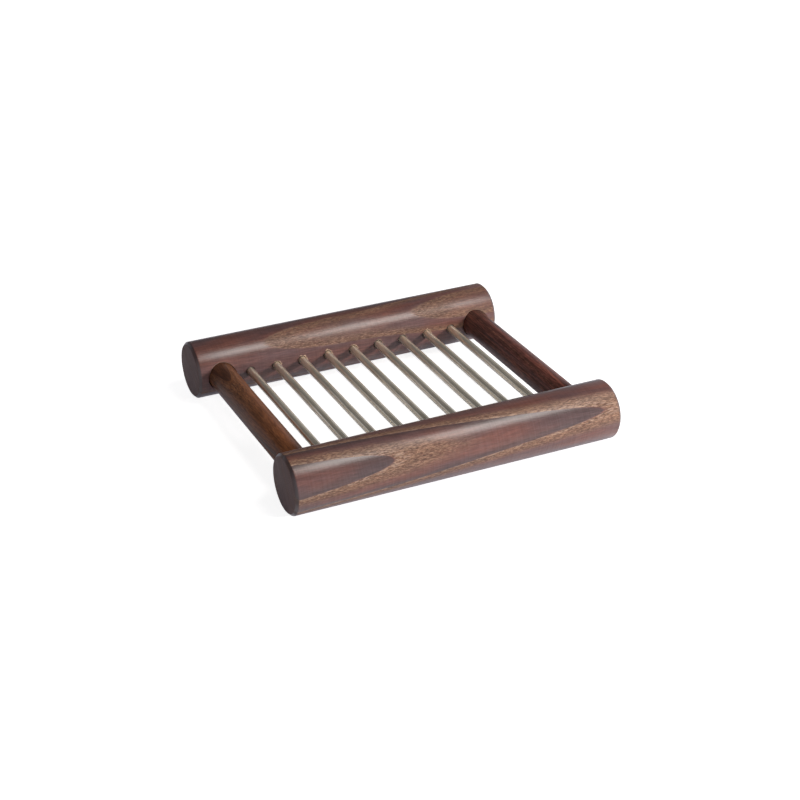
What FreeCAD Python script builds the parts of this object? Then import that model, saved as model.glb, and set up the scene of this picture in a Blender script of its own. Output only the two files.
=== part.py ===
"""Slatted soap dish: two round wooden rails, joined by two wooden crossbars and a row of steel rods.

Every crossbar and rod ends in a blind hole in the inner side of each rail. The soap lies on the rods,
between the rails, and water drains through the gaps.

Frame, in millimetres: X along the rails, Y from the front rail to the rear rail, Z up.
The origin is on the surface that the dish stands on, below its middle.
"""

import FreeCAD
import Part
import math
import os

# Rails: the two round lengths of wood that the dish stands on
RAIL_LENGTH = 121.0
RAIL_DIAMETER = 21.0
RAIL_SPACING = 92.0  # between the two axes
RAIL_CHAMFER = 1.0  # on the edge round each end

# Crossbars: the two wooden dowels that hold the rails apart
CROSSBAR_DIAMETER = 10.0
CROSSBAR_SEAT = 12.0  # how far a crossbar reaches into a rail
CROSSBAR_CHAMFER = 0.8  # on the hidden ends
CROSSBAR_CLEARANCE = 0.1  # between a crossbar and the wall of its socket
SOCKET_END_WALL = 3.9  # wood between a crossbar's socket and the rail's end
SOCKET_EASE = 0.3  # chamfer round the mouth of a socket

# Rods: the steel row that carries the soap
ROD_COUNT = 9
ROD_DIAMETER = 3.0
ROD_SEAT = 9.0  # how far a rod reaches into a rail
ROD_CHAMFER = 0.3  # on the hidden ends
ROD_CLEARANCE = 0.15  # between a rod and the wall of its hole
ROD_ROW_MARGIN = 4.2  # clear gap between a crossbar and the first rod beside it
HOLE_EASE = 0.2  # chamfer round the mouth of a rod's hole
DRILL_POINT_ANGLE = 118.0  # of the bit that leaves a cone below each rod
FLAT_FLOOR_ANGLE = 180.0  # of the bit that leaves a flat floor below each crossbar

# Worked out from the sizes above
AXIS_HEIGHT = RAIL_DIAMETER / 2  # rails, crossbars and rods share one level
INNER_HALF_GAP = (RAIL_SPACING - RAIL_DIAMETER) / 2  # from the middle to a rail's inner side
SOCKET_DIAMETER = CROSSBAR_DIAMETER + 2 * CROSSBAR_CLEARANCE
HOLE_DIAMETER = ROD_DIAMETER + 2 * ROD_CLEARANCE
CROSSBAR_X = RAIL_LENGTH / 2 - SOCKET_END_WALL - SOCKET_DIAMETER / 2
CROSSBAR_PLACES = [-CROSSBAR_X, CROSSBAR_X]
LAST_ROD_X = CROSSBAR_X - CROSSBAR_DIAMETER / 2 - ROD_ROW_MARGIN - ROD_DIAMETER / 2
ROD_PITCH = 2 * LAST_ROD_X / (ROD_COUNT - 1)
ROD_PLACES = [index * ROD_PITCH - LAST_ROD_X for index in range(ROD_COUNT)]

ALONG_X = FreeCAD.Vector(1, 0, 0)
ALONG_Y = FreeCAD.Vector(0, 1, 0)
UPRIGHT = FreeCAD.Vector(0, 0, 1)
ORIGIN = FreeCAD.Vector(0, 0, 0)
SAME_RADIUS = 1e-6  # two radii closer than this are the same


def chamfered_bar(length, diameter, chamfer, axis):
    """A round bar along the axis, centred on the origin, with a chamfer at each end."""
    bar = Part.makeCylinder(diameter / 2, length, axis * (-length / 2), axis)
    rims = [edge for edge in bar.Edges if edge.Curve.TypeId == "Part::GeomCircle"]
    return bar.makeChamfer(chamfer, rims)


def drilled_bore(diameter, depth, point_angle):
    """What a bit removes on its way along +Y from the dish's middle into the rear rail.

    The depth is measured from the rail's inner side to the end of the straight wall. The bit's point
    leaves a cone below that wall, or a flat floor where its angle is 180 degrees.
    """
    radius = diameter / 2
    floor = INNER_HALF_GAP + depth
    tip = floor + radius / math.tan(math.radians(point_angle / 2))
    corners = [
        ORIGIN,
        FreeCAD.Vector(radius, 0, 0),
        FreeCAD.Vector(radius, floor, 0),
        FreeCAD.Vector(0, tip, 0),
    ]
    return Part.Face(Part.makePolygon(corners + [ORIGIN])).revolve(ORIGIN, ALONG_Y, 360)


def at(shape, x, y):
    """A copy of the shape, carried to a place on the common level."""
    placed = shape.copy()
    placed.translate(FreeCAD.Vector(x, y, AXIS_HEIGHT))
    return placed


def round_faces(shape, diameter):
    """The cylindrical faces of that diameter."""
    return [
        face
        for face in shape.Faces
        if face.Surface.TypeId == "Part::GeomCylinder"
        and abs(face.Surface.Radius - diameter / 2) < SAME_RADIUS
    ]


def mouth_edges(rail, bore_diameter):
    """The edges where bores of that diameter break the rail's round side."""
    side_edges = [edge for face in round_faces(rail, RAIL_DIAMETER) for edge in face.Edges]
    wall_edges = [edge for face in round_faces(rail, bore_diameter) for edge in face.Edges]
    return [edge for edge in wall_edges if any(edge.isSame(other) for other in side_edges)]


def make_rear_rail():
    """The rail on the +Y side, with its two sockets and its row of rod holes."""
    socket = drilled_bore(SOCKET_DIAMETER, CROSSBAR_SEAT, FLAT_FLOOR_ANGLE)
    hole = drilled_bore(HOLE_DIAMETER, ROD_SEAT, DRILL_POINT_ANGLE)
    bores = [at(socket, x, 0) for x in CROSSBAR_PLACES] + [at(hole, x, 0) for x in ROD_PLACES]

    bar = chamfered_bar(RAIL_LENGTH, RAIL_DIAMETER, RAIL_CHAMFER, ALONG_X)
    rail = at(bar, 0, RAIL_SPACING / 2).cut(bores)
    rail = rail.makeChamfer(SOCKET_EASE, mouth_edges(rail, SOCKET_DIAMETER))
    return rail.makeChamfer(HOLE_EASE, mouth_edges(rail, HOLE_DIAMETER))


def make_front_rail(rear_rail):
    """The same rail, turned half a turn about the upright axis to face the other one."""
    rail = rear_rail.copy()
    rail.rotate(ORIGIN, UPRIGHT, 180)
    return rail


def make_crossbar(x):
    length = 2 * (INNER_HALF_GAP + CROSSBAR_SEAT)
    return at(chamfered_bar(length, CROSSBAR_DIAMETER, CROSSBAR_CHAMFER, ALONG_Y), x, 0)


def make_rod(x):
    length = 2 * (INNER_HALF_GAP + ROD_SEAT)
    return at(chamfered_bar(length, ROD_DIAMETER, ROD_CHAMFER, ALONG_Y), x, 0)


def make_parts():
    rear_rail = make_rear_rail()
    parts = {"rear_rail": rear_rail, "front_rail": make_front_rail(rear_rail)}
    for side, x in zip(("left", "right"), CROSSBAR_PLACES):
        parts[side + "_crossbar"] = make_crossbar(x)
    for number, x in enumerate(ROD_PLACES, start=1):
        parts["rod_%d" % number] = make_rod(x)
    return parts


def main():
    os.makedirs("parts", exist_ok=True)
    for name, shape in make_parts().items():
        solids = shape.Solids
        if len(solids) != 1 or not shape.isValid():
            raise RuntimeError("%s isn't one valid solid" % name)
        solids[0].exportStep(os.path.join("parts", name + ".step"))
        print("%-15s %9.1f mm3" % (name, solids[0].Volume))


main()
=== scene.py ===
import math

import bmesh
import bpy
from mathutils import Matrix, Vector, noise


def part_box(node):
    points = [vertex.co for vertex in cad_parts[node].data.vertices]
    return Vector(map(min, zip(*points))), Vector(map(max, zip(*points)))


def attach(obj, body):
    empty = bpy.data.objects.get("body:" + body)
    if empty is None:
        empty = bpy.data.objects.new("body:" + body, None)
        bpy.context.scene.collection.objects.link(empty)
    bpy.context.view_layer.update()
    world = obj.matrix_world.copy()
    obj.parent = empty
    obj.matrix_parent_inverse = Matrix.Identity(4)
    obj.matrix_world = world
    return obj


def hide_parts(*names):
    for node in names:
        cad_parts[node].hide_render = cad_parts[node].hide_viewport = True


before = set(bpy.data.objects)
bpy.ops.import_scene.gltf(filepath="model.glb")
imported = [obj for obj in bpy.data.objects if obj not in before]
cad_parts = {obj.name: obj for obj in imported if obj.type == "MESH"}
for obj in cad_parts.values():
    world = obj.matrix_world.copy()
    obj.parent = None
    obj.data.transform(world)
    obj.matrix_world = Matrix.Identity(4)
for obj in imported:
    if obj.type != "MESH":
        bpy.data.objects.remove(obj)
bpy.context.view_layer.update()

mm = 0.001
rodNodes = sorted(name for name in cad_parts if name.startswith("rod_"))
crossbarNodes = ["left_crossbar", "right_crossbar"]
railNodes = ["front_rail", "rear_rail"]


def barMeasure(node, along):  # a round bar's middle, length and radius, from its CAD box
    low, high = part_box(node)
    size = high - low
    return {"middle": (low + high) / 2, "length": size[along], "radius": size.z / 2, "along": along}


bars = {node: barMeasure(node, 0) for node in railNodes}
bars.update({node: barMeasure(node, 1) for node in crossbarNodes + rodNodes})
railRadius = bars["front_rail"]["radius"]
railLength = bars["front_rail"]["length"]
railInner = bars["rear_rail"]["middle"].y - railRadius  # from the middle to a rail's inner side
axisHeight = bars["front_rail"]["middle"].z
rodPitch = (bars[rodNodes[-1]]["middle"].x - bars[rodNodes[0]]["middle"].x) / (len(rodNodes) - 1)
print("frame: rails %.1f mm long, rods %.1f mm apart" % (railLength / mm, rodPitch / mm))


# Shader helpers

def addNode(tree, kind, sources, **settings):
    # sources gives each socket, by name or number, a plain value or the socket that it is linked to
    node = tree.nodes.new("ShaderNode" + kind)
    for name, value in settings.items():
        setattr(node, name, value)
    for key, source in sources.items():
        if isinstance(source, bpy.types.NodeSocket):
            tree.links.new(source, node.inputs[key])
        else:
            node.inputs[key].default_value = source
    return node


def calc(tree, operation, *values):
    return addNode(tree, "Math", dict(enumerate(values)), operation=operation).outputs[0]


def times(tree, first, second):
    return calc(tree, "MULTIPLY", first, second)


def plus(tree, first, second):
    return calc(tree, "ADD", first, second)


def minus(tree, first, second):
    return calc(tree, "SUBTRACT", first, second)


def hypotenuse(tree, first, second):
    return calc(tree, "SQRT", plus(tree, calc(tree, "POWER", first, 2.0), calc(tree, "POWER", second, 2.0)))


def rise(tree, value, low, high, bottom=0.0, top=1.0):  # smooth step from bottom to top
    sources = {"Value": value, "From Min": low, "From Max": high, "To Min": bottom, "To Max": top}
    return addNode(tree, "MapRange", sources, interpolation_type="SMOOTHSTEP").outputs[0]


def mix(tree, factor, first, second):
    return addNode(tree, "Mix", {0: factor, 2: first, 3: second}).outputs[0]


def tint(tree, factor, first, second):
    return addNode(tree, "Mix", {0: factor, 6: first, 7: second}, data_type="RGBA").outputs[2]


def scaleColour(tree, colour, factor):
    return addNode(tree, "VectorMath", {0: colour, "Scale": factor}, operation="SCALE").outputs[0]


def stretch(tree, vector, scale):
    return addNode(tree, "VectorMath", {0: vector, 1: scale}, operation="MULTIPLY").outputs[0]


def splitPlace(tree, vector):
    return addNode(tree, "SeparateXYZ", {0: vector}).outputs[:3]


def newGroup(name, inputs, outputs):
    tree = bpy.data.node_groups.new(name, "ShaderNodeTree")
    for label, kind, value in inputs:
        socket = tree.interface.new_socket(label, in_out="INPUT", socket_type="NodeSocket" + kind)
        socket.default_value = value
    for label, kind in outputs:
        tree.interface.new_socket(label, in_out="OUTPUT", socket_type="NodeSocket" + kind)
    return tree, tree.nodes.new("NodeGroupInput").outputs, tree.nodes.new("NodeGroupOutput").inputs


def useGroup(tree, group, sources):
    return addNode(tree, "Group", sources, node_tree=group).outputs


def newMaterial(name):
    material = bpy.data.materials.new(name)
    material.use_nodes = True
    tree = material.node_tree
    return material, tree, tree.nodes["Principled BSDF"]


def objectPlace(tree):  # the piece's own coordinates, in millimetres
    coordinates = addNode(tree, "TexCoord", {}).outputs["Object"]
    return stretch(tree, coordinates, (1 / mm, 1 / mm, 1 / mm))


def rayKinds(tree):  # is it seen by the camera, and is it seen in a reflection
    path = addNode(tree, "LightPath", {}).outputs
    return path["Is Camera Ray"], calc(tree, "MAXIMUM", path["Is Glossy Ray"], path["Is Transmission Ray"])


def rgb(*values):
    return (*values, 1.0)


def grey(tone):
    return rgb(tone, tone, tone)


# Noise per millimetre: the wood's along the grain, outwards and sideways, the others' along X, Y and Z
clouds = {
    "slowWander": {"scale": (0.03, 0.14, 0.14), "detail": 2.0, "roughness": 0.5},
    "quickWander": {"scale": (0.3, 1.5, 1.5), "detail": 2.0, "roughness": 0.5},
    "earlyDrift": {"scale": (0.12, 0.7, 0.7), "detail": 3.0, "roughness": 0.5},
    "fleck": {"scale": (0.8, 4.0, 4.0), "detail": 3.0, "roughness": 0.65, "limits": (0.40, 0.60)},
    "pore": {"scale": (0.6, 4.0, 4.0), "detail": 1.0, "roughness": 0.5, "limits": (0.55, 0.66)},
    "firstRow": {"scale": (0.5, 2.0, 2.0), "detail": 1.0, "roughness": 0.5, "limits": (0.42, 0.60)},
    "streak": {"scale": (0.04, 1.9, 1.9), "detail": 4.0, "roughness": 0.6, "limits": (0.30, 0.70)},
    "blotch": {"scale": (0.04, 0.16, 0.16), "detail": 2.0, "roughness": 0.5, "limits": (0.35, 0.65)},
    "dash": {"scale": (0.35, 3.2, 3.2), "detail": 2.0, "roughness": 0.5, "limits": (0.35, 0.65)},
    "endLine": {"scale": (0.0, 1.6, 0.07), "detail": 3.0, "roughness": 0.5, "limits": (0.45, 0.70)},
    "endPore": {"scale": (0.0, 3.4, 3.4), "detail": 1.0, "roughness": 0.5, "limits": (0.56, 0.68)},
    "tornRim": {"scale": (1.1, 1.1, 1.1), "detail": 3.0, "roughness": 0.7},
    "sanding": {"scale": (1.8, 0.06, 0.06), "detail": 3.0, "roughness": 0.7, "limits": (0.30, 0.70)},
    "drawLine": {"scale": (5.0, 0.06, 5.0), "detail": 3.0, "roughness": 0.5, "limits": (0.30, 0.70)},
    "stain": {"scale": (0.4, 0.12, 0.4), "detail": 3.0, "roughness": 0.5, "limits": (0.35, 0.70)},
}
cloudMiddle = 0.5


def cloud(tree, place, name):
    kind = clouds[name]
    sources = {"Vector": stretch(tree, place, kind["scale"]), "Scale": 1.0,
               "Detail": kind["detail"], "Roughness": kind["roughness"]}
    return addNode(tree, "TexNoise", sources).outputs["Fac"]


def evenCloud(tree, place, name):  # as much below zero as above it
    return minus(tree, cloud(tree, place, name), cloudMiddle)


def patches(tree, place, name, bottom=0.0, top=1.0):
    return rise(tree, cloud(tree, place, name), *clouds[name]["limits"], bottom, top)


# Shared wood effects. Place is in millimetres in the log: X along the grain, Y outwards from the pith.

quickShare = 0.4  # of the quick wander, beside the slow one
poreLook = {
    "drift": 0.2, "fadeStart": 0.35, "fadeEnd": 1.35, "latePores": 0.12, "rowFull": 0.05, "rowEnd": 0.13,
}
mouthLook = {"raggedness": 2.6, "rimFade": (0.2, 1.0), "tornFade": (0.35, 0.75)}


def makeRingGroup():
    group, given, out = newGroup(
        "growthRings",
        [("Place", "Vector", (0, 0, 0)), ("Ring Width", "Float", 4.0), ("Ring Start", "Float", 0.0),
         ("Inner Stretch", "Float", 1.0), ("Outer Stretch", "Float", 1.0),
         ("Pith Distance", "Float", 60.0), ("Wander", "Float", 0.3),
         ("Wave Height", "Float", 0.3), ("Wave Length", "Float", 100.0), ("Wave Start", "Float", 0.0)],
        [("Phase", "Float"), ("Depth", "Float")])
    along, outwards, sideways = splitPlace(group, given["Place"])

    # Distance from the pith, with the trunk's wander and its long wave
    wander = plus(group, evenCloud(group, given["Place"], "slowWander"),
                  times(group, evenCloud(group, given["Place"], "quickWander"), quickShare))
    reach = hypotenuse(group, plus(group, outwards, given["Pith Distance"]), sideways)
    radial = minus(group, reach, given["Pith Distance"])
    radial = plus(group, radial, times(group, wander, given["Wander"]))
    waveTurn = calc(group, "DIVIDE", minus(group, along, given["Wave Start"]), given["Wave Length"])
    wave = calc(group, "SINE", times(group, waveTurn, 2 * math.pi))
    radial = plus(group, radial, times(group, wave, given["Wave Height"]))

    # One ring of the given width, with stretched rings on its inner and its outer side
    even = calc(group, "DIVIDE", minus(group, radial, given["Ring Start"]), given["Ring Width"])
    inner = calc(group, "DIVIDE", calc(group, "MINIMUM", even, 0.0), given["Inner Stretch"])
    past = calc(group, "MAXIMUM", minus(group, even, 1.0), 0.0)
    outer = calc(group, "DIVIDE", past, given["Outer Stretch"])
    middle = calc(group, "MINIMUM", calc(group, "MAXIMUM", even, 0.0), 1.0)
    phase = calc(group, "FRACT", plus(group, plus(group, inner, outer), middle))
    group.links.new(phase, out["Phase"])
    stretched = mix(group, calc(group, "LESS_THAN", even, 0.0), 1.0, given["Inner Stretch"])
    stretched = mix(group, calc(group, "GREATER_THAN", even, 1.0), stretched, given["Outer Stretch"])
    group.links.new(times(group, phase, stretched), out["Depth"])
    return group


def makePoreGroup():
    group, given, out = newGroup(
        "openPores",
        [("Place", "Vector", (0, 0, 0)), ("Depth", "Float", 0.0), ("Early Share", "Float", 0.4),
         ("Edge Blur", "Float", 0.02)],
        [("Early", "Float"), ("Fleck", "Float"), ("Pore", "Float"), ("First Row", "Float")])
    place = given["Place"]
    drift = times(group, evenCloud(group, place, "earlyDrift"), poreLook["drift"])
    fadeStart = times(group, given["Early Share"], poreLook["fadeStart"])
    fadeEnd = times(group, given["Early Share"], poreLook["fadeEnd"])
    fade = rise(group, plus(group, given["Depth"], drift), fadeStart, fadeEnd, 1.0, 0.0)
    begins = rise(group, given["Depth"], 0.0, given["Edge Blur"])
    early = times(group, begins, fade)
    group.links.new(early, out["Early"])
    group.links.new(patches(group, place, "fleck"), out["Fleck"])
    crowding = rise(group, early, 0.0, 1.0, poreLook["latePores"], 1.0)
    group.links.new(times(group, patches(group, place, "pore"), crowding), out["Pore"])
    row = rise(group, given["Depth"], poreLook["rowFull"], poreLook["rowEnd"], 1.0, 0.0)
    row = times(group, begins, row)
    group.links.new(times(group, row, patches(group, place, "firstRow")), out["First Row"])
    return group


def makeFibreGroup():
    group, given, out = newGroup(
        "woodFibres",
        [("Place", "Vector", (0, 0, 0))],
        [("Streak", "Float"), ("Blotch", "Float"), ("Dash", "Float")])
    for name in ("Streak", "Blotch", "Dash"):
        group.links.new(patches(group, given["Place"], name.lower()), out[name])
    return group


def makeMouthGroup():  # how near a point is to the rim of a bore along Y: 1 at the rim, 0 past the reach
    group, given, out = newGroup(
        "boreMouths",
        [("Across", "Float", 0.0), ("Height", "Float", 0.0), ("Radius", "Float", 1.5),
         ("Reach", "Float", 0.6), ("Place", "Vector", (0, 0, 0))],
        [("Rim", "Float"), ("Torn", "Float")])
    away = hypotenuse(group, given["Across"], given["Height"])
    beyond = calc(group, "DIVIDE", minus(group, away, given["Radius"]), given["Reach"])
    group.links.new(rise(group, beyond, *mouthLook["rimFade"], 1.0, 0.0), out["Rim"])
    ragged = times(group, evenCloud(group, given["Place"], "tornRim"), mouthLook["raggedness"])
    torn = plus(group, beyond, ragged)
    group.links.new(rise(group, torn, *mouthLook["tornFade"], 1.0, 0.0), out["Torn"])
    return group


ringGroup = makeRingGroup()
poreGroup = makePoreGroup()
fibreGroup = makeFibreGroup()
mouthGroup = makeMouthGroup()
print("wood effects: rings, pores, fibres and bore mouths")


# Oiled ring-porous wood, with values of its own on each bar. Places and lengths are in millimetres.

def fromSide(angle):  # a direction across a rail: 0 is the front, 90 is up
    return (0.0, -math.cos(math.radians(angle)), math.sin(math.radians(angle)))


railColours = {
    "lateWarm": rgb(0.152, 0.060, 0.044), "lateCool": rgb(0.116, 0.061, 0.057),
    "lateEnd": rgb(0.074, 0.048, 0.046),
    "earlyDark": rgb(0.128, 0.061, 0.040), "earlyLight": rgb(0.31, 0.184, 0.114),
    "firstRow": rgb(0.46, 0.32, 0.235), "pore": rgb(0.060, 0.032, 0.024),
}
# Both crossbars are the same wood. The left one's colours are lighter, partly painted light for its lit
# side; the right one's are darker, partly painted shade for its shaded side; the rest is each dowel's own
# tone and figure.
leftDowelColoursWithPaintedLight = {
    "lateWarm": rgb(0.188, 0.070, 0.028), "lateCool": rgb(0.165, 0.066, 0.032),
    "lateEnd": rgb(0.075, 0.030, 0.017),
    "earlyDark": rgb(0.145, 0.056, 0.026), "earlyLight": rgb(0.235, 0.104, 0.050),
    "firstRow": rgb(0.26, 0.13, 0.08), "pore": rgb(0.060, 0.026, 0.017),
}
rightDowelColoursWithPaintedShade = {
    "lateWarm": rgb(0.142, 0.049, 0.035), "lateCool": rgb(0.116, 0.045, 0.036),
    "lateEnd": rgb(0.075, 0.030, 0.024),
    "earlyDark": rgb(0.100, 0.034, 0.025), "earlyLight": rgb(0.180, 0.078, 0.055),
    "firstRow": rgb(0.19, 0.10, 0.075), "pore": rgb(0.045, 0.020, 0.016),
}
railLooks = {
    "front_rail": {
        "colours": railColours, "grainTilt": 0.060, "ringFacing": fromSide(31), "growth": -1,
        "pithDistance": 60.0, "ringWidth": 4.86, "ringStart": -12.285,
        "innerStretch": 1.0, "outerStretch": 2.2, "wander": 0.22,
        "waveHeight": 0.357, "waveLength": 112.0, "waveStart": -10.0,
        "earlyShare": 0.46, "edgeBlur": 0.02, "endShade": 0.85,
        "earlyTone": 0.9, "firstRowTone": 0.5, "streakTone": 0.15,
        "chips": (0.2, 0.5, 0.1, 0.4, 0.0, 0.6, 0.2, 0.1, 0.3),
    },
    "rear_rail": {
        "colours": railColours, "grainTilt": 0.042, "ringFacing": fromSide(51.5), "growth": 1,
        "pithDistance": 60.0, "ringWidth": 2.466, "ringStart": 8.892,
        "innerStretch": 4.0, "outerStretch": 2.0, "wander": 0.34,
        "waveHeight": 0.29, "waveLength": 62.0, "waveStart": -33.0,
        "earlyShare": 0.58, "edgeBlur": 0.10, "endShade": 0.12,
        "earlyTone": 0.75, "firstRowTone": 0.3, "streakTone": 0.18,
        "chips": (0.0, 0.9, 1.0, 0.9, 1.0, 0.3, 0.2, 0.8, 0.0),
    },
}
crossbarLooks = {
    "left_crossbar": {
        "colours": leftDowelColoursWithPaintedLight, "grainTilt": -0.07, "ringFacing": (-0.35, 0, 0.93), "growth": -1,
        "pithDistance": 40.0, "ringWidth": 6.0, "ringStart": -6.4,
        "innerStretch": 1.0, "outerStretch": 1.5, "wander": 0.2,
        "waveHeight": 0.2, "waveLength": 70.0, "waveStart": 0.0,
        "earlyShare": 0.30, "edgeBlur": 0.04, "endShade": 0.9,
        "earlyTone": 0.9, "firstRowTone": 0.4, "streakTone": 0.25,
    },
    "right_crossbar": {
        "colours": rightDowelColoursWithPaintedShade, "grainTilt": 0.012, "ringFacing": (-0.9, 0, 0.3), "growth": 1,
        "pithDistance": 40.0, "ringWidth": 2.6, "ringStart": 0.9,
        "innerStretch": 1.0, "outerStretch": 1.0, "wander": 0.2,
        "waveHeight": 0.1, "waveLength": 80.0, "waveStart": 0.0,
        "earlyShare": 0.25, "edgeBlur": 0.04, "endShade": 0.6,
        "earlyTone": 0.9, "firstRowTone": 0.4, "streakTone": 0.42,
    },
}
woodSheen = {
    "lateRoughness": 0.31, "earlyRoughness": 0.18, "endRoughness": 0.3, "dowelSpecular": 0.25,
    "oilCoat": 1.0, "earlyCoat": 0.3, "oilRoughness": 0.30,
    "scratchedCoat": 0.62, "coatLimits": (0.32, 0.68),
    "scratchTone": (0.98, 1.02), "scratchDull": (-0.03, 0.04),
    "poreDepth": 0.05 * mm, "poreStrength": 0.6, "streakRelief": 0.15,
    "sandDepth": 0.022 * mm, "sandStrength": 0.8,
}
figureTone = {"endShadeStart": 0.62, "pore": 0.7, "dashShare": 0.7}
railDetails = {
    "endGrain": rgb(0.132, 0.080, 0.074), "endLine": rgb(0.190, 0.130, 0.122),
    "endEdge": rgb(0.060, 0.038, 0.036),
    "endRingTone": 0.7, "endLineTone": 0.8, "endPoreTone": 0.6, "endTone": 0.9, "chamferTone": 0.75,
    "endFaceStart": 0.22, "endFaceFull": 0.06, "chamferStart": 1.15, "chamferFull": 0.85,
    "chip": rgb(0.52, 0.36, 0.25), "chipReach": 0.7, "chipSide": (0.4, 1.6),
    # colour, reach, side and strength of the socket rim: partly raw wood, partly a painted highlight on the
    # upper side
    "rimSheenColour": rgb(0.36, 0.25, 0.19), "rimReach": 0.55, "rimSide": (1.0, 4.5), "rimSheenTone": 0.55,
    "innerBlend": 2.0,
}


def woodPlace(tree, place, look, bar):
    # Turns object coordinates into the log's: grain at a small tilt to the bar, rings facing one way
    axis = Vector((1, 0, 0)) if bar["along"] == 0 else Vector((0, 1, 0))
    face = Vector(look["ringFacing"]).normalized()
    tilt = math.atan(look["grainTilt"])
    outwards = (axis * math.sin(tilt) + face * math.cos(tilt) * look["growth"]).normalized()
    grain = (axis - outwards * axis.dot(outwards)).normalized()
    turn = Matrix((grain, outwards, grain.cross(outwards)))
    shift = turn @ (-bar["middle"] / mm)
    sources = {"Vector": place, "Location": shift, "Rotation": turn.to_euler("XYZ")}
    return addNode(tree, "Mapping", sources, vector_type="POINT").outputs[0]


def woodFigure(tree, place, look):
    ring = useGroup(tree, ringGroup, {
        "Place": place, "Ring Width": look["ringWidth"], "Ring Start": look["ringStart"],
        "Inner Stretch": look["innerStretch"], "Outer Stretch": look["outerStretch"],
        "Pith Distance": look["pithDistance"], "Wander": look["wander"],
        "Wave Height": look["waveHeight"], "Wave Length": look["waveLength"],
        "Wave Start": look["waveStart"]})
    porous = useGroup(tree, poreGroup, {
        "Place": place, "Depth": ring["Depth"], "Early Share": look["earlyShare"],
        "Edge Blur": look["edgeBlur"]})
    fibre = useGroup(tree, fibreGroup, {"Place": place})
    return ring, porous, fibre


def woodColour(tree, look, ring, porous, fibre):
    colours = look["colours"]
    late = tint(tree, fibre["Blotch"], colours["lateWarm"], colours["lateCool"])
    ringEnd = rise(tree, ring["Phase"], figureTone["endShadeStart"], 1.0, 0.0, look["endShade"])
    late = tint(tree, ringEnd, late, colours["lateEnd"])
    early = tint(tree, porous["Fleck"], colours["earlyDark"], colours["earlyLight"])
    colour = tint(tree, times(tree, porous["Early"], look["earlyTone"]), late, early)
    firstRow = times(tree, porous["First Row"], look["firstRowTone"])
    colour = tint(tree, firstRow, colour, colours["firstRow"])
    colour = tint(tree, times(tree, porous["Pore"], figureTone["pore"]), colour, colours["pore"])
    streakDepth = look["streakTone"]
    dashDepth = figureTone["dashShare"] * streakDepth
    streak = rise(tree, fibre["Streak"], 0.0, 1.0, 1 - streakDepth, 1 + streakDepth)
    dash = rise(tree, fibre["Dash"], 0.0, 1.0, 1 - dashDepth, 1 + dashDepth)
    return scaleColour(tree, colour, times(tree, streak, dash))


def poreBump(tree, porous, fibre):
    relief = minus(tree, times(tree, fibre["Streak"], woodSheen["streakRelief"]), porous["Pore"])
    sources = {"Height": relief, "Strength": woodSheen["poreStrength"], "Distance": woodSheen["poreDepth"]}
    return addNode(tree, "Bump", sources).outputs[0]


def railSpot(tree, place, bar):  # where a point lies on its rail
    x, y, z = splitPlace(tree, place)
    inwards = times(tree, minus(tree, bar["middle"].y / mm, y), math.copysign(1, bar["middle"].y))
    return {
        "x": x, "fromMiddle": calc(tree, "ABSOLUTE", x), "height": minus(tree, z, axisHeight / mm),
        "inner": rise(tree, inwards, 0.0, railDetails["innerBlend"]),
    }


def holeChips(tree, place, spot, amounts):  # torn pale wood on the upper right of each rod hole
    pitch = rodPitch / mm
    rowEnd = pitch * len(rodNodes) / 2
    inRow = times(tree, spot["inner"], calc(tree, "LESS_THAN", spot["fromMiddle"], rowEnd))
    across = calc(tree, "WRAP", spot["x"], pitch / 2, -pitch / 2)
    hole = useGroup(tree, mouthGroup, {
        "Across": across, "Height": spot["height"], "Radius": boreShapes["hole"]["radius"] / mm,
        "Reach": railDetails["chipReach"], "Place": place})
    alongRow = addNode(tree, "MapRange", {"Value": spot["x"], "From Min": -rowEnd, "From Max": rowEnd})
    ramp = addNode(tree, "ValToRGB", {"Fac": alongRow.outputs[0]})
    ramp.color_ramp.interpolation = "CONSTANT"
    for number, amount in enumerate(amounts):
        stops = ramp.color_ramp.elements
        position = number / len(amounts)
        stop = stops[number] if number < 2 else stops.new(position)
        stop.position = position
        stop.color = grey(amount)
    chip = times(tree, times(tree, hole["Torn"], ramp.outputs["Color"]), inRow)
    return times(tree, chip, rise(tree, plus(tree, spot["height"], across), *railDetails["chipSide"]))


def socketRimSheen(tree, place, spot):  # a thin pale rim on the upper side of each crossbar socket: raw wood at the eased edge, with a painted highlight where that edge catches the light from above
    fromSocket = minus(tree, spot["fromMiddle"], bars["right_crossbar"]["middle"].x / mm)
    socket = useGroup(tree, mouthGroup, {
        "Across": fromSocket, "Height": spot["height"], "Radius": boreShapes["socket"]["radius"] / mm,
        "Reach": railDetails["rimReach"], "Place": place})
    upper = times(tree, spot["inner"], rise(tree, spot["height"], *railDetails["rimSide"]))
    return times(tree, times(tree, socket["Rim"], upper), railDetails["rimSheenTone"])


def endGrainColour(tree, logPlace, early):  # the growth rings seen end on, with open pores
    lines = patches(tree, logPlace, "endLine", 0.0, railDetails["endLineTone"])
    rings = calc(tree, "MAXIMUM", times(tree, early, railDetails["endRingTone"]), lines)
    colour = tint(tree, rings, railDetails["endGrain"], railDetails["endLine"])
    pores = patches(tree, logPlace, "endPore", 0.0, railDetails["endPoreTone"])
    return tint(tree, pores, colour, railDetails["endEdge"])


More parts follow.
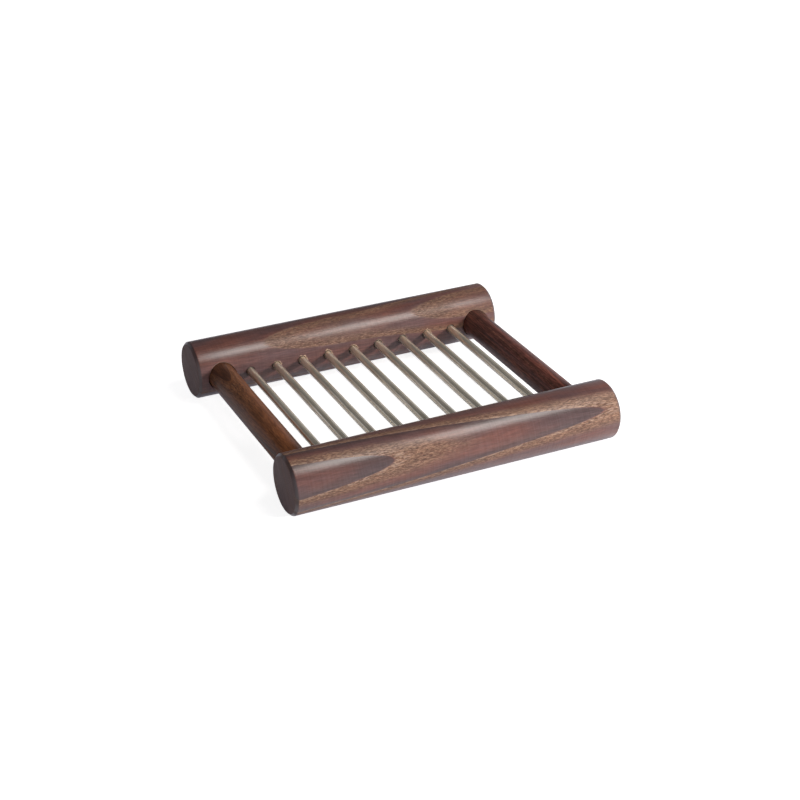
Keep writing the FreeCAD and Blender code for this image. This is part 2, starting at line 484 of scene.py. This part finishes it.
def makeRailWood(node):
    look = railLooks[node]
    bar = bars[node]
    material, tree, shader = newMaterial(node + "_wood")
    shader.inputs["Coat Roughness"].default_value = woodSheen["oilRoughness"]
    place = objectPlace(tree)
    logPlace = woodPlace(tree, place, look, bar)
    ring, porous, fibre = woodFigure(tree, logPlace, look)
    early = porous["Early"]
    sanding = cloud(tree, place, "sanding")
    sandLimits = clouds["sanding"]["limits"]
    colour = woodColour(tree, look, ring, porous, fibre)
    colour = scaleColour(tree, colour, rise(tree, sanding, *sandLimits, *woodSheen["scratchTone"]))

    spot = railSpot(tree, place, bar)
    colour = tint(tree, holeChips(tree, place, spot, look["chips"]), colour, railDetails["chip"])
    # pale rim on the upper side of each socket, partly raw wood and partly a painted highlight
    colour = tint(tree, socketRimSheen(tree, place, spot), colour, railDetails["rimSheenColour"])

    # End grain, with a darker chamfer round it
    half = bar["length"] / mm / 2
    endFace = rise(tree, spot["fromMiddle"], half - railDetails["endFaceStart"],
                   half - railDetails["endFaceFull"])
    chamfer = rise(tree, spot["fromMiddle"], half - railDetails["chamferStart"],
                   half - railDetails["chamferFull"])
    chamfer = minus(tree, chamfer, endFace)
    endColour = endGrainColour(tree, logPlace, early)
    colour = tint(tree, times(tree, endFace, railDetails["endTone"]), colour, endColour)
    colour = tint(tree, times(tree, chamfer, railDetails["chamferTone"]), colour, railDetails["endEdge"])
    tree.links.new(colour, shader.inputs["Base Color"])

    # Oil that lies on the late wood, thinner in the pores and the sanding lines, and none on the ends
    coat = rise(tree, early, 0.0, 1.0, woodSheen["oilCoat"], woodSheen["earlyCoat"])
    coat = times(tree, minus(tree, 1.0, endFace), coat)
    coat = times(tree, coat, rise(tree, sanding, *woodSheen["coatLimits"], woodSheen["scratchedCoat"], 1.0))
    tree.links.new(coat, shader.inputs["Coat Weight"])

    # Smooth late wood, duller pores and ends, fine sanding lines round the bar
    dull = times(tree, early, woodSheen["earlyRoughness"])
    dull = plus(tree, dull, times(tree, endFace, woodSheen["endRoughness"]))
    dull = plus(tree, dull, rise(tree, sanding, *sandLimits, *woodSheen["scratchDull"]))
    tree.links.new(plus(tree, dull, woodSheen["lateRoughness"]), shader.inputs["Roughness"])
    fine = addNode(tree, "Bump", {
        "Height": sanding, "Strength": woodSheen["sandStrength"], "Distance": woodSheen["sandDepth"],
        "Normal": poreBump(tree, porous, fibre)})
    tree.links.new(fine.outputs[0], shader.inputs["Normal"])
    return material


def makeCrossbarWood(node):
    look = crossbarLooks[node]
    material, tree, shader = newMaterial(node + "_wood")
    shader.inputs["Specular IOR Level"].default_value = woodSheen["dowelSpecular"]
    logPlace = woodPlace(tree, objectPlace(tree), look, bars[node])
    ring, porous, fibre = woodFigure(tree, logPlace, look)
    tree.links.new(woodColour(tree, look, ring, porous, fibre), shader.inputs["Base Color"])
    dull = times(tree, porous["Early"], woodSheen["earlyRoughness"])
    tree.links.new(plus(tree, dull, woodSheen["lateRoughness"]), shader.inputs["Roughness"])
    tree.links.new(poreBump(tree, porous, fibre), shader.inputs["Normal"])
    return material


steelLook = {
    "bright": rgb(0.98, 0.905, 0.75), "dull": rgb(0.85, 0.77, 0.61), "metal": 0.69,
    "smoothest": 0.13, "roughest": 0.26, "lineStrength": 0.3, "lineDepth": 0.015 * mm,
}


def makeSteel():
    material, tree, shader = newMaterial("drawnSteel")
    shader.inputs["Metallic"].default_value = steelLook["metal"]
    place = objectPlace(tree)
    colour = tint(tree, patches(tree, place, "stain"), steelLook["bright"], steelLook["dull"])
    tree.links.new(colour, shader.inputs["Base Color"])
    lines = cloud(tree, place, "drawLine")
    dull = rise(tree, lines, *clouds["drawLine"]["limits"], steelLook["smoothest"], steelLook["roughest"])
    tree.links.new(dull, shader.inputs["Roughness"])
    sources = {"Height": lines, "Strength": steelLook["lineStrength"], "Distance": steelLook["lineDepth"]}
    tree.links.new(addNode(tree, "Bump", sources).outputs[0], shader.inputs["Normal"])
    return material


# Turned bars

barShapes = {
    "rail": {"chamfer": 1.0 * mm, "edgeRound": 0.16 * mm, "steps": 160},
    "crossbar": {"chamfer": 0.8 * mm, "edgeRound": 0.12 * mm, "steps": 72},
    "rod": {"chamfer": 0.3 * mm, "edgeRound": 0.06 * mm, "steps": 40},
}
boreShapes = {
    "hole": {"radius": 1.65 * mm, "depth": 9.0 * mm, "ease": 0.2 * mm, "pointAngle": 118, "steps": 40},
    "socket": {"radius": 5.1 * mm, "depth": 12.0 * mm, "ease": 0.3 * mm, "pointAngle": 180, "steps": 80},
}
mouthShape = {
    "lead": 1.6 * mm, "waveCount": 1.4, "waveSeed": 3.7, "waveDepth": 0.25,
    "nickCount": 3.1, "nickSeed": 5.3, "nickShift": 40, "nickFrom": 0.1, "nickDepth": 2.4,
    "socketChipping": 0.3, "socketSeed": 20,
}
sliverSize = 0.0005 * mm  # points nearer than this are one
rimAngle = math.radians(20)  # a bar's edges sharper than this are rounded
sharpAngle = math.radians(25)  # edges sharper than this aren't shaded smooth
roundSegments = 3
middlePart = 0.5  # of the way to a cutter's wall, its outer end or its floor


def addObject(name, bm):
    mesh = bpy.data.meshes.new(name)
    bm.to_mesh(mesh)
    bm.free()
    item = bpy.data.objects.new(name, mesh)
    bpy.context.scene.collection.objects.link(item)
    return item


def spinOutline(bm, corners, axis, steps):
    chain = [bm.verts.new(corner) for corner in corners]
    edges = [bm.edges.new(pair) for pair in zip(chain, chain[1:])]
    bmesh.ops.spin(bm, geom=chain + edges, cent=(0, 0, 0), axis=axis, angle=2 * math.pi, steps=steps,
                   use_merge=True)
    bmesh.ops.remove_doubles(bm, verts=bm.verts, dist=sliverSize)
    bmesh.ops.recalc_face_normals(bm, faces=bm.faces)


def turnedBar(shape, bar):  # a bmesh of a bar along its axis, centred on the origin, with eased chamfers
    half = bar["length"] / 2
    radius = bar["radius"]
    neck = radius - shape["chamfer"]
    shoulder = half - shape["chamfer"]
    outline = [(-half, 0), (-half, neck), (-shoulder, radius), (shoulder, radius), (half, neck), (half, 0)]
    bm = bmesh.new()
    if bar["along"] == 0:
        spinOutline(bm, [(u, 0, v) for u, v in outline], (1, 0, 0), shape["steps"])
    else:
        spinOutline(bm, [(0, u, v) for u, v in outline], (0, 1, 0), shape["steps"])
    rims = [edge for edge in bm.edges if edge.calc_face_angle(0) > rimAngle]
    bmesh.ops.bevel(bm, geom=rims, offset=shape["edgeRound"], segments=roundSegments, profile=0.5,
                    affect="EDGES", material=-1)
    return bm


def finishPiece(name, bm, node, material):
    piece = addObject(name, bm)
    piece.data.materials.append(material)
    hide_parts(node)
    return piece


def smoothSides(piece):
    piece.data.shade_smooth()
    piece.data.set_sharp_from_angle(angle=sharpAngle)


def raggedEase(turn, ease, chipping, seed):  # how wide the eased edge is, in that direction round the bore
    waves = mouthShape["waveCount"]
    nicks = mouthShape["nickCount"]
    nickPlace = seed * mouthShape["nickSeed"] + mouthShape["nickShift"]
    wave = noise.noise(Vector((turn.x * waves, turn.y * waves, seed * mouthShape["waveSeed"])))
    nick = noise.noise(Vector((turn.x * nicks, turn.y * nicks, nickPlace)))
    nick = max(0.0, nick - mouthShape["nickFrom"])
    return ease * (1 + mouthShape["waveDepth"] * wave + mouthShape["nickDepth"] * chipping * nick)


def boreCutter(bm, shape, x, side, chipping, seed):  # what a bit takes out of the rail on that side
    radius = shape["radius"]
    ease = shape["ease"]
    floor = shape["depth"]
    tip = floor + radius / math.tan(math.radians(shape["pointAngle"] / 2))
    lead = -mouthShape["lead"]
    cutter = bmesh.new()
    outline = [(0, lead), (radius + 2 * ease, lead), (radius + 2 * ease, -ease), (radius, ease),
               (radius, floor), (0, tip)]
    spinOutline(cutter, [(u, v, 0) for u, v in outline], (0, 1, 0), shape["steps"])
    for vert in cutter.verts:  # the two rings of points at the mouth follow the rail's round side
        away = math.hypot(vert.co.x, vert.co.z)
        atMouth = lead * middlePart <= vert.co.y <= floor * middlePart
        if away < radius * middlePart or not atMouth:
            continue
        turn = Vector((vert.co.x, vert.co.z)) / away
        local = raggedEase(turn, ease, chipping, seed)
        onOuter = away > radius + ease
        away = radius + 2 * local if onOuter else radius
        saddle = railRadius - math.sqrt(railRadius ** 2 - (away * turn.y) ** 2)
        vert.co = Vector((turn.x * away, (-local if onOuter else local) + saddle, turn.y * away))
    if side < 0:
        halfTurn = Matrix.Rotation(math.pi, 3, "Z")
        bmesh.ops.rotate(cutter, cent=(0, 0, 0), matrix=halfTurn, verts=cutter.verts)
    bmesh.ops.translate(cutter, vec=(x, side * railInner, axisHeight), verts=cutter.verts)
    part = bpy.data.meshes.new("bore")
    cutter.to_mesh(part)
    cutter.free()
    bm.from_mesh(part)
    bpy.data.meshes.remove(part)


def cutBores(piece, bores):
    cutter = addObject("bores", bores)
    cut = piece.modifiers.new("bores", "BOOLEAN")
    cut.operation = "DIFFERENCE"
    cut.solver = "EXACT"
    cut.object = cutter
    evaluated = piece.evaluated_get(bpy.context.evaluated_depsgraph_get())
    bored = bpy.data.meshes.new_from_object(evaluated)
    piece.modifiers.clear()
    whole = piece.data
    piece.data = bored
    bored.name = piece.name
    bpy.data.meshes.remove(whole)
    cutterMesh = cutter.data
    bpy.data.objects.remove(cutter)
    bpy.data.meshes.remove(cutterMesh)


def mergeSlivers(mesh):  # thin faces that the cut leaves
    bm = bmesh.new()
    bm.from_mesh(mesh)
    bmesh.ops.remove_doubles(bm, verts=bm.verts, dist=sliverSize)
    bmesh.ops.dissolve_degenerate(bm, edges=bm.edges, dist=sliverSize)
    bm.to_mesh(mesh)
    bm.free()


def makeRail(node):
    bar = bars[node]
    side = math.copysign(1, bar["middle"].y)
    bm = turnedBar(barShapes["rail"], bar)
    places = [bars[rod]["middle"].x for rod in rodNodes]
    between = [place + rodPitch / 2 for place in places] + [places[0] - rodPitch / 2]
    for x in between:  # short faces between the holes
        bmesh.ops.bisect_plane(bm, geom=bm.verts[:] + bm.edges[:] + bm.faces[:], plane_co=(x, 0, 0),
                               plane_no=(1, 0, 0))
    bmesh.ops.translate(bm, vec=bar["middle"], verts=bm.verts)
    piece = finishPiece(node + "_turned", bm, node, makeRailWood(node))

    bores = bmesh.new()
    for number, x in enumerate(places):
        boreCutter(bores, boreShapes["hole"], x, side, railLooks[node]["chips"][number], number + side)
    for number, crossbar in enumerate(crossbarNodes):
        boreCutter(bores, boreShapes["socket"], bars[crossbar]["middle"].x, side,
                   mouthShape["socketChipping"], number + mouthShape["socketSeed"] + side)
    cutBores(piece, bores)
    mergeSlivers(piece.data)
    smoothSides(piece)
    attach(piece, "root")
    return piece


def makeStraightBar(node, shape, name, material):
    bm = turnedBar(shape, bars[node])
    bmesh.ops.translate(bm, vec=bars[node]["middle"], verts=bm.verts)
    piece = finishPiece(name, bm, node, material)
    smoothSides(piece)
    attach(piece, "root")


for node in railNodes:
    rail = makeRail(node)
    print("%s: %d faces" % (node, len(rail.data.polygons)))
for node in crossbarNodes:
    makeStraightBar(node, barShapes["crossbar"], node + "_dowel", makeCrossbarWood(node))
steel = makeSteel()
for node in rodNodes:
    makeStraightBar(node, barShapes["rod"], node + "_wire", steel)
print("bars: %d rails, %d crossbars, %d rods" % (len(railNodes), len(crossbarNodes), len(rodNodes)))


# Floor, light and camera

white = grey(1.0)
stageLook = {
    "floorRadius": 8.0, "floorSegments": 96, "floorTone": 0.62, "floorFill": 0.86, "floorGloss": 0.19,
    "floorTint": rgb(0.92, 0.95, 1.16),
    "frontTone": 0.56, "backTone": 0.065, "rightTone": 0.5, "ceilingTone": 0.035,
    "frontToBack": (-0.35, 0.25), "toRight": (0.34, 0.66), "toCeiling": (0.36, 0.70),
    "skyGloss": 0.012, "skyTint": rgb(0.95, 0.97, 1.08),
    "leftGloss": 0.5, "leftFade": (-0.55, -0.30), "backFade": (0.55, 0.75), "topFade": (0.26, 0.40),
}
lamps = {
    "keyLamp": {
        "place": (0.33, -0.47, 0.18), "size": (0.08, 0.08), "power": 3.25, "tone": (1.0, 0.97, 0.98),
        "facesDown": False, "mirrored": False,
    },
    "softTop": {
        "place": (0.38, -0.36, 0.90), "size": (0.54, 0.42), "power": 4.6, "tone": (1.0, 0.96, 0.91),
        "facesDown": True, "mirrored": True,
    },
    "backFill": {
        "place": (-0.12, 0.62, 0.14), "size": (0.40, 0.14), "power": 0.9, "tone": (1.0, 0.97, 0.94),
        "facesDown": False, "mirrored": False,
    },
}
photoView = {
    "azimuth": -24.992, "elevation": 27.66, "roll": -0.554, "distance": 616.316 * mm,
    "focalPixels": 1726.627, "framePixels": 800, "aimPixel": (393.374, 388.723), "sensorWidth": 36.0,
}
dishMiddle = Vector((0, 0, axisHeight))


def makeFloor():
    bm = bmesh.new()
    bmesh.ops.create_circle(bm, cap_ends=True, radius=stageLook["floorRadius"],
                            segments=stageLook["floorSegments"])
    floor = addObject("floor", bm)
    material, tree, shader = newMaterial("paleFloor")
    shader.inputs["Base Color"].default_value = grey(stageLook["floorTone"])
    shader.inputs["Roughness"].default_value = 1.0
    shader.inputs["Specular IOR Level"].default_value = 0.0
    seen, mirrored = rayKinds(tree)
    strength = plus(tree, times(tree, seen, stageLook["floorFill"]),
                    times(tree, mirrored, stageLook["floorGloss"]))
    glowColour = tint(tree, seen, stageLook["floorTint"], white)
    glow = addNode(tree, "Emission", {"Color": glowColour, "Strength": strength})
    both = addNode(tree, "AddShader", {0: shader.outputs[0], 1: glow.outputs[0]})
    tree.links.new(both.outputs[0], tree.nodes["Material Output"].inputs["Surface"])
    floor.data.materials.append(material)


def makeWorld():
    world = bpy.data.worlds.new("studio")
    world.use_nodes = True
    tree = world.node_tree
    x, y, z = splitPlace(tree, addNode(tree, "TexCoord", {}).outputs["Generated"])

    # A room lit from the front and the right, under a dark ceiling
    low = rise(tree, y, *stageLook["frontToBack"], stageLook["frontTone"], stageLook["backTone"])
    right = rise(tree, x, *stageLook["toRight"], 0.0, stageLook["rightTone"])
    low = calc(tree, "MAXIMUM", low, right)
    strength = mix(tree, rise(tree, z, *stageLook["toCeiling"]), low, stageLook["ceilingTone"])

    # Reflections see a bright patch low at the back left, and the camera sees white
    leftGlow = rise(tree, x, *stageLook["leftFade"], stageLook["leftGloss"], 0.0)
    lowBehind = times(tree, rise(tree, y, *stageLook["backFade"]),
                      rise(tree, z, *stageLook["topFade"], 1.0, 0.0))
    glow = plus(tree, times(tree, leftGlow, lowBehind), stageLook["skyGloss"])
    seen, mirrored = rayKinds(tree)
    strength = plus(tree, strength, times(tree, mirrored, glow))
    background = tree.nodes["Background"].inputs
    tree.links.new(mix(tree, seen, strength, 1.0), background["Strength"])
    tree.links.new(tint(tree, seen, stageLook["skyTint"], white), background["Color"])
    bpy.context.scene.world = world


def makeLamps():
    for name, lamp in lamps.items():
        light = bpy.data.lights.new(name, "AREA")
        light.shape = "RECTANGLE"
        light.size, light.size_y = lamp["size"]
        light.energy = lamp["power"]
        light.color = lamp["tone"]
        holder = bpy.data.objects.new(name, light)
        holder.location = lamp["place"]
        if not lamp["facesDown"]:
            aim = dishMiddle - Vector(lamp["place"])
            holder.rotation_euler = aim.to_track_quat("-Z", "Y").to_euler()
        holder.visible_glossy = lamp["mirrored"]
        bpy.context.scene.collection.objects.link(holder)


def makeCamera():
    turn = math.radians(photoView["azimuth"])
    lift = math.radians(photoView["elevation"])
    roll = math.radians(photoView["roll"])
    back = Vector((math.sin(turn) * math.cos(lift), -math.cos(turn) * math.cos(lift), math.sin(lift)))
    level = Vector((math.cos(turn), math.sin(turn), 0))
    upright = back.cross(level)
    right = level * math.cos(roll) + upright * math.sin(roll)
    up = upright * math.cos(roll) - level * math.sin(roll)
    perPixel = photoView["distance"] / photoView["focalPixels"]
    across = photoView["aimPixel"][0] - photoView["framePixels"] / 2
    down = photoView["aimPixel"][1] - photoView["framePixels"] / 2
    lens = bpy.data.cameras.new("camera")
    lens.sensor_width = photoView["sensorWidth"]
    lens.lens = photoView["focalPixels"] * photoView["sensorWidth"] / photoView["framePixels"]
    camera = bpy.data.objects.new("camera", lens)
    camera.matrix_world = Matrix((right, up, back)).transposed().to_4x4()
    place = dishMiddle + back * photoView["distance"]
    camera.location = place - right * across * perPixel + up * down * perPixel
    bpy.context.scene.collection.objects.link(camera)
    bpy.context.scene.camera = camera


makeFloor()
makeWorld()
makeLamps()
makeCamera()
bpy.context.scene.view_settings.view_transform = "Standard"
print("stage: floor, lamps and camera")

bpy.context.view_layer.update()
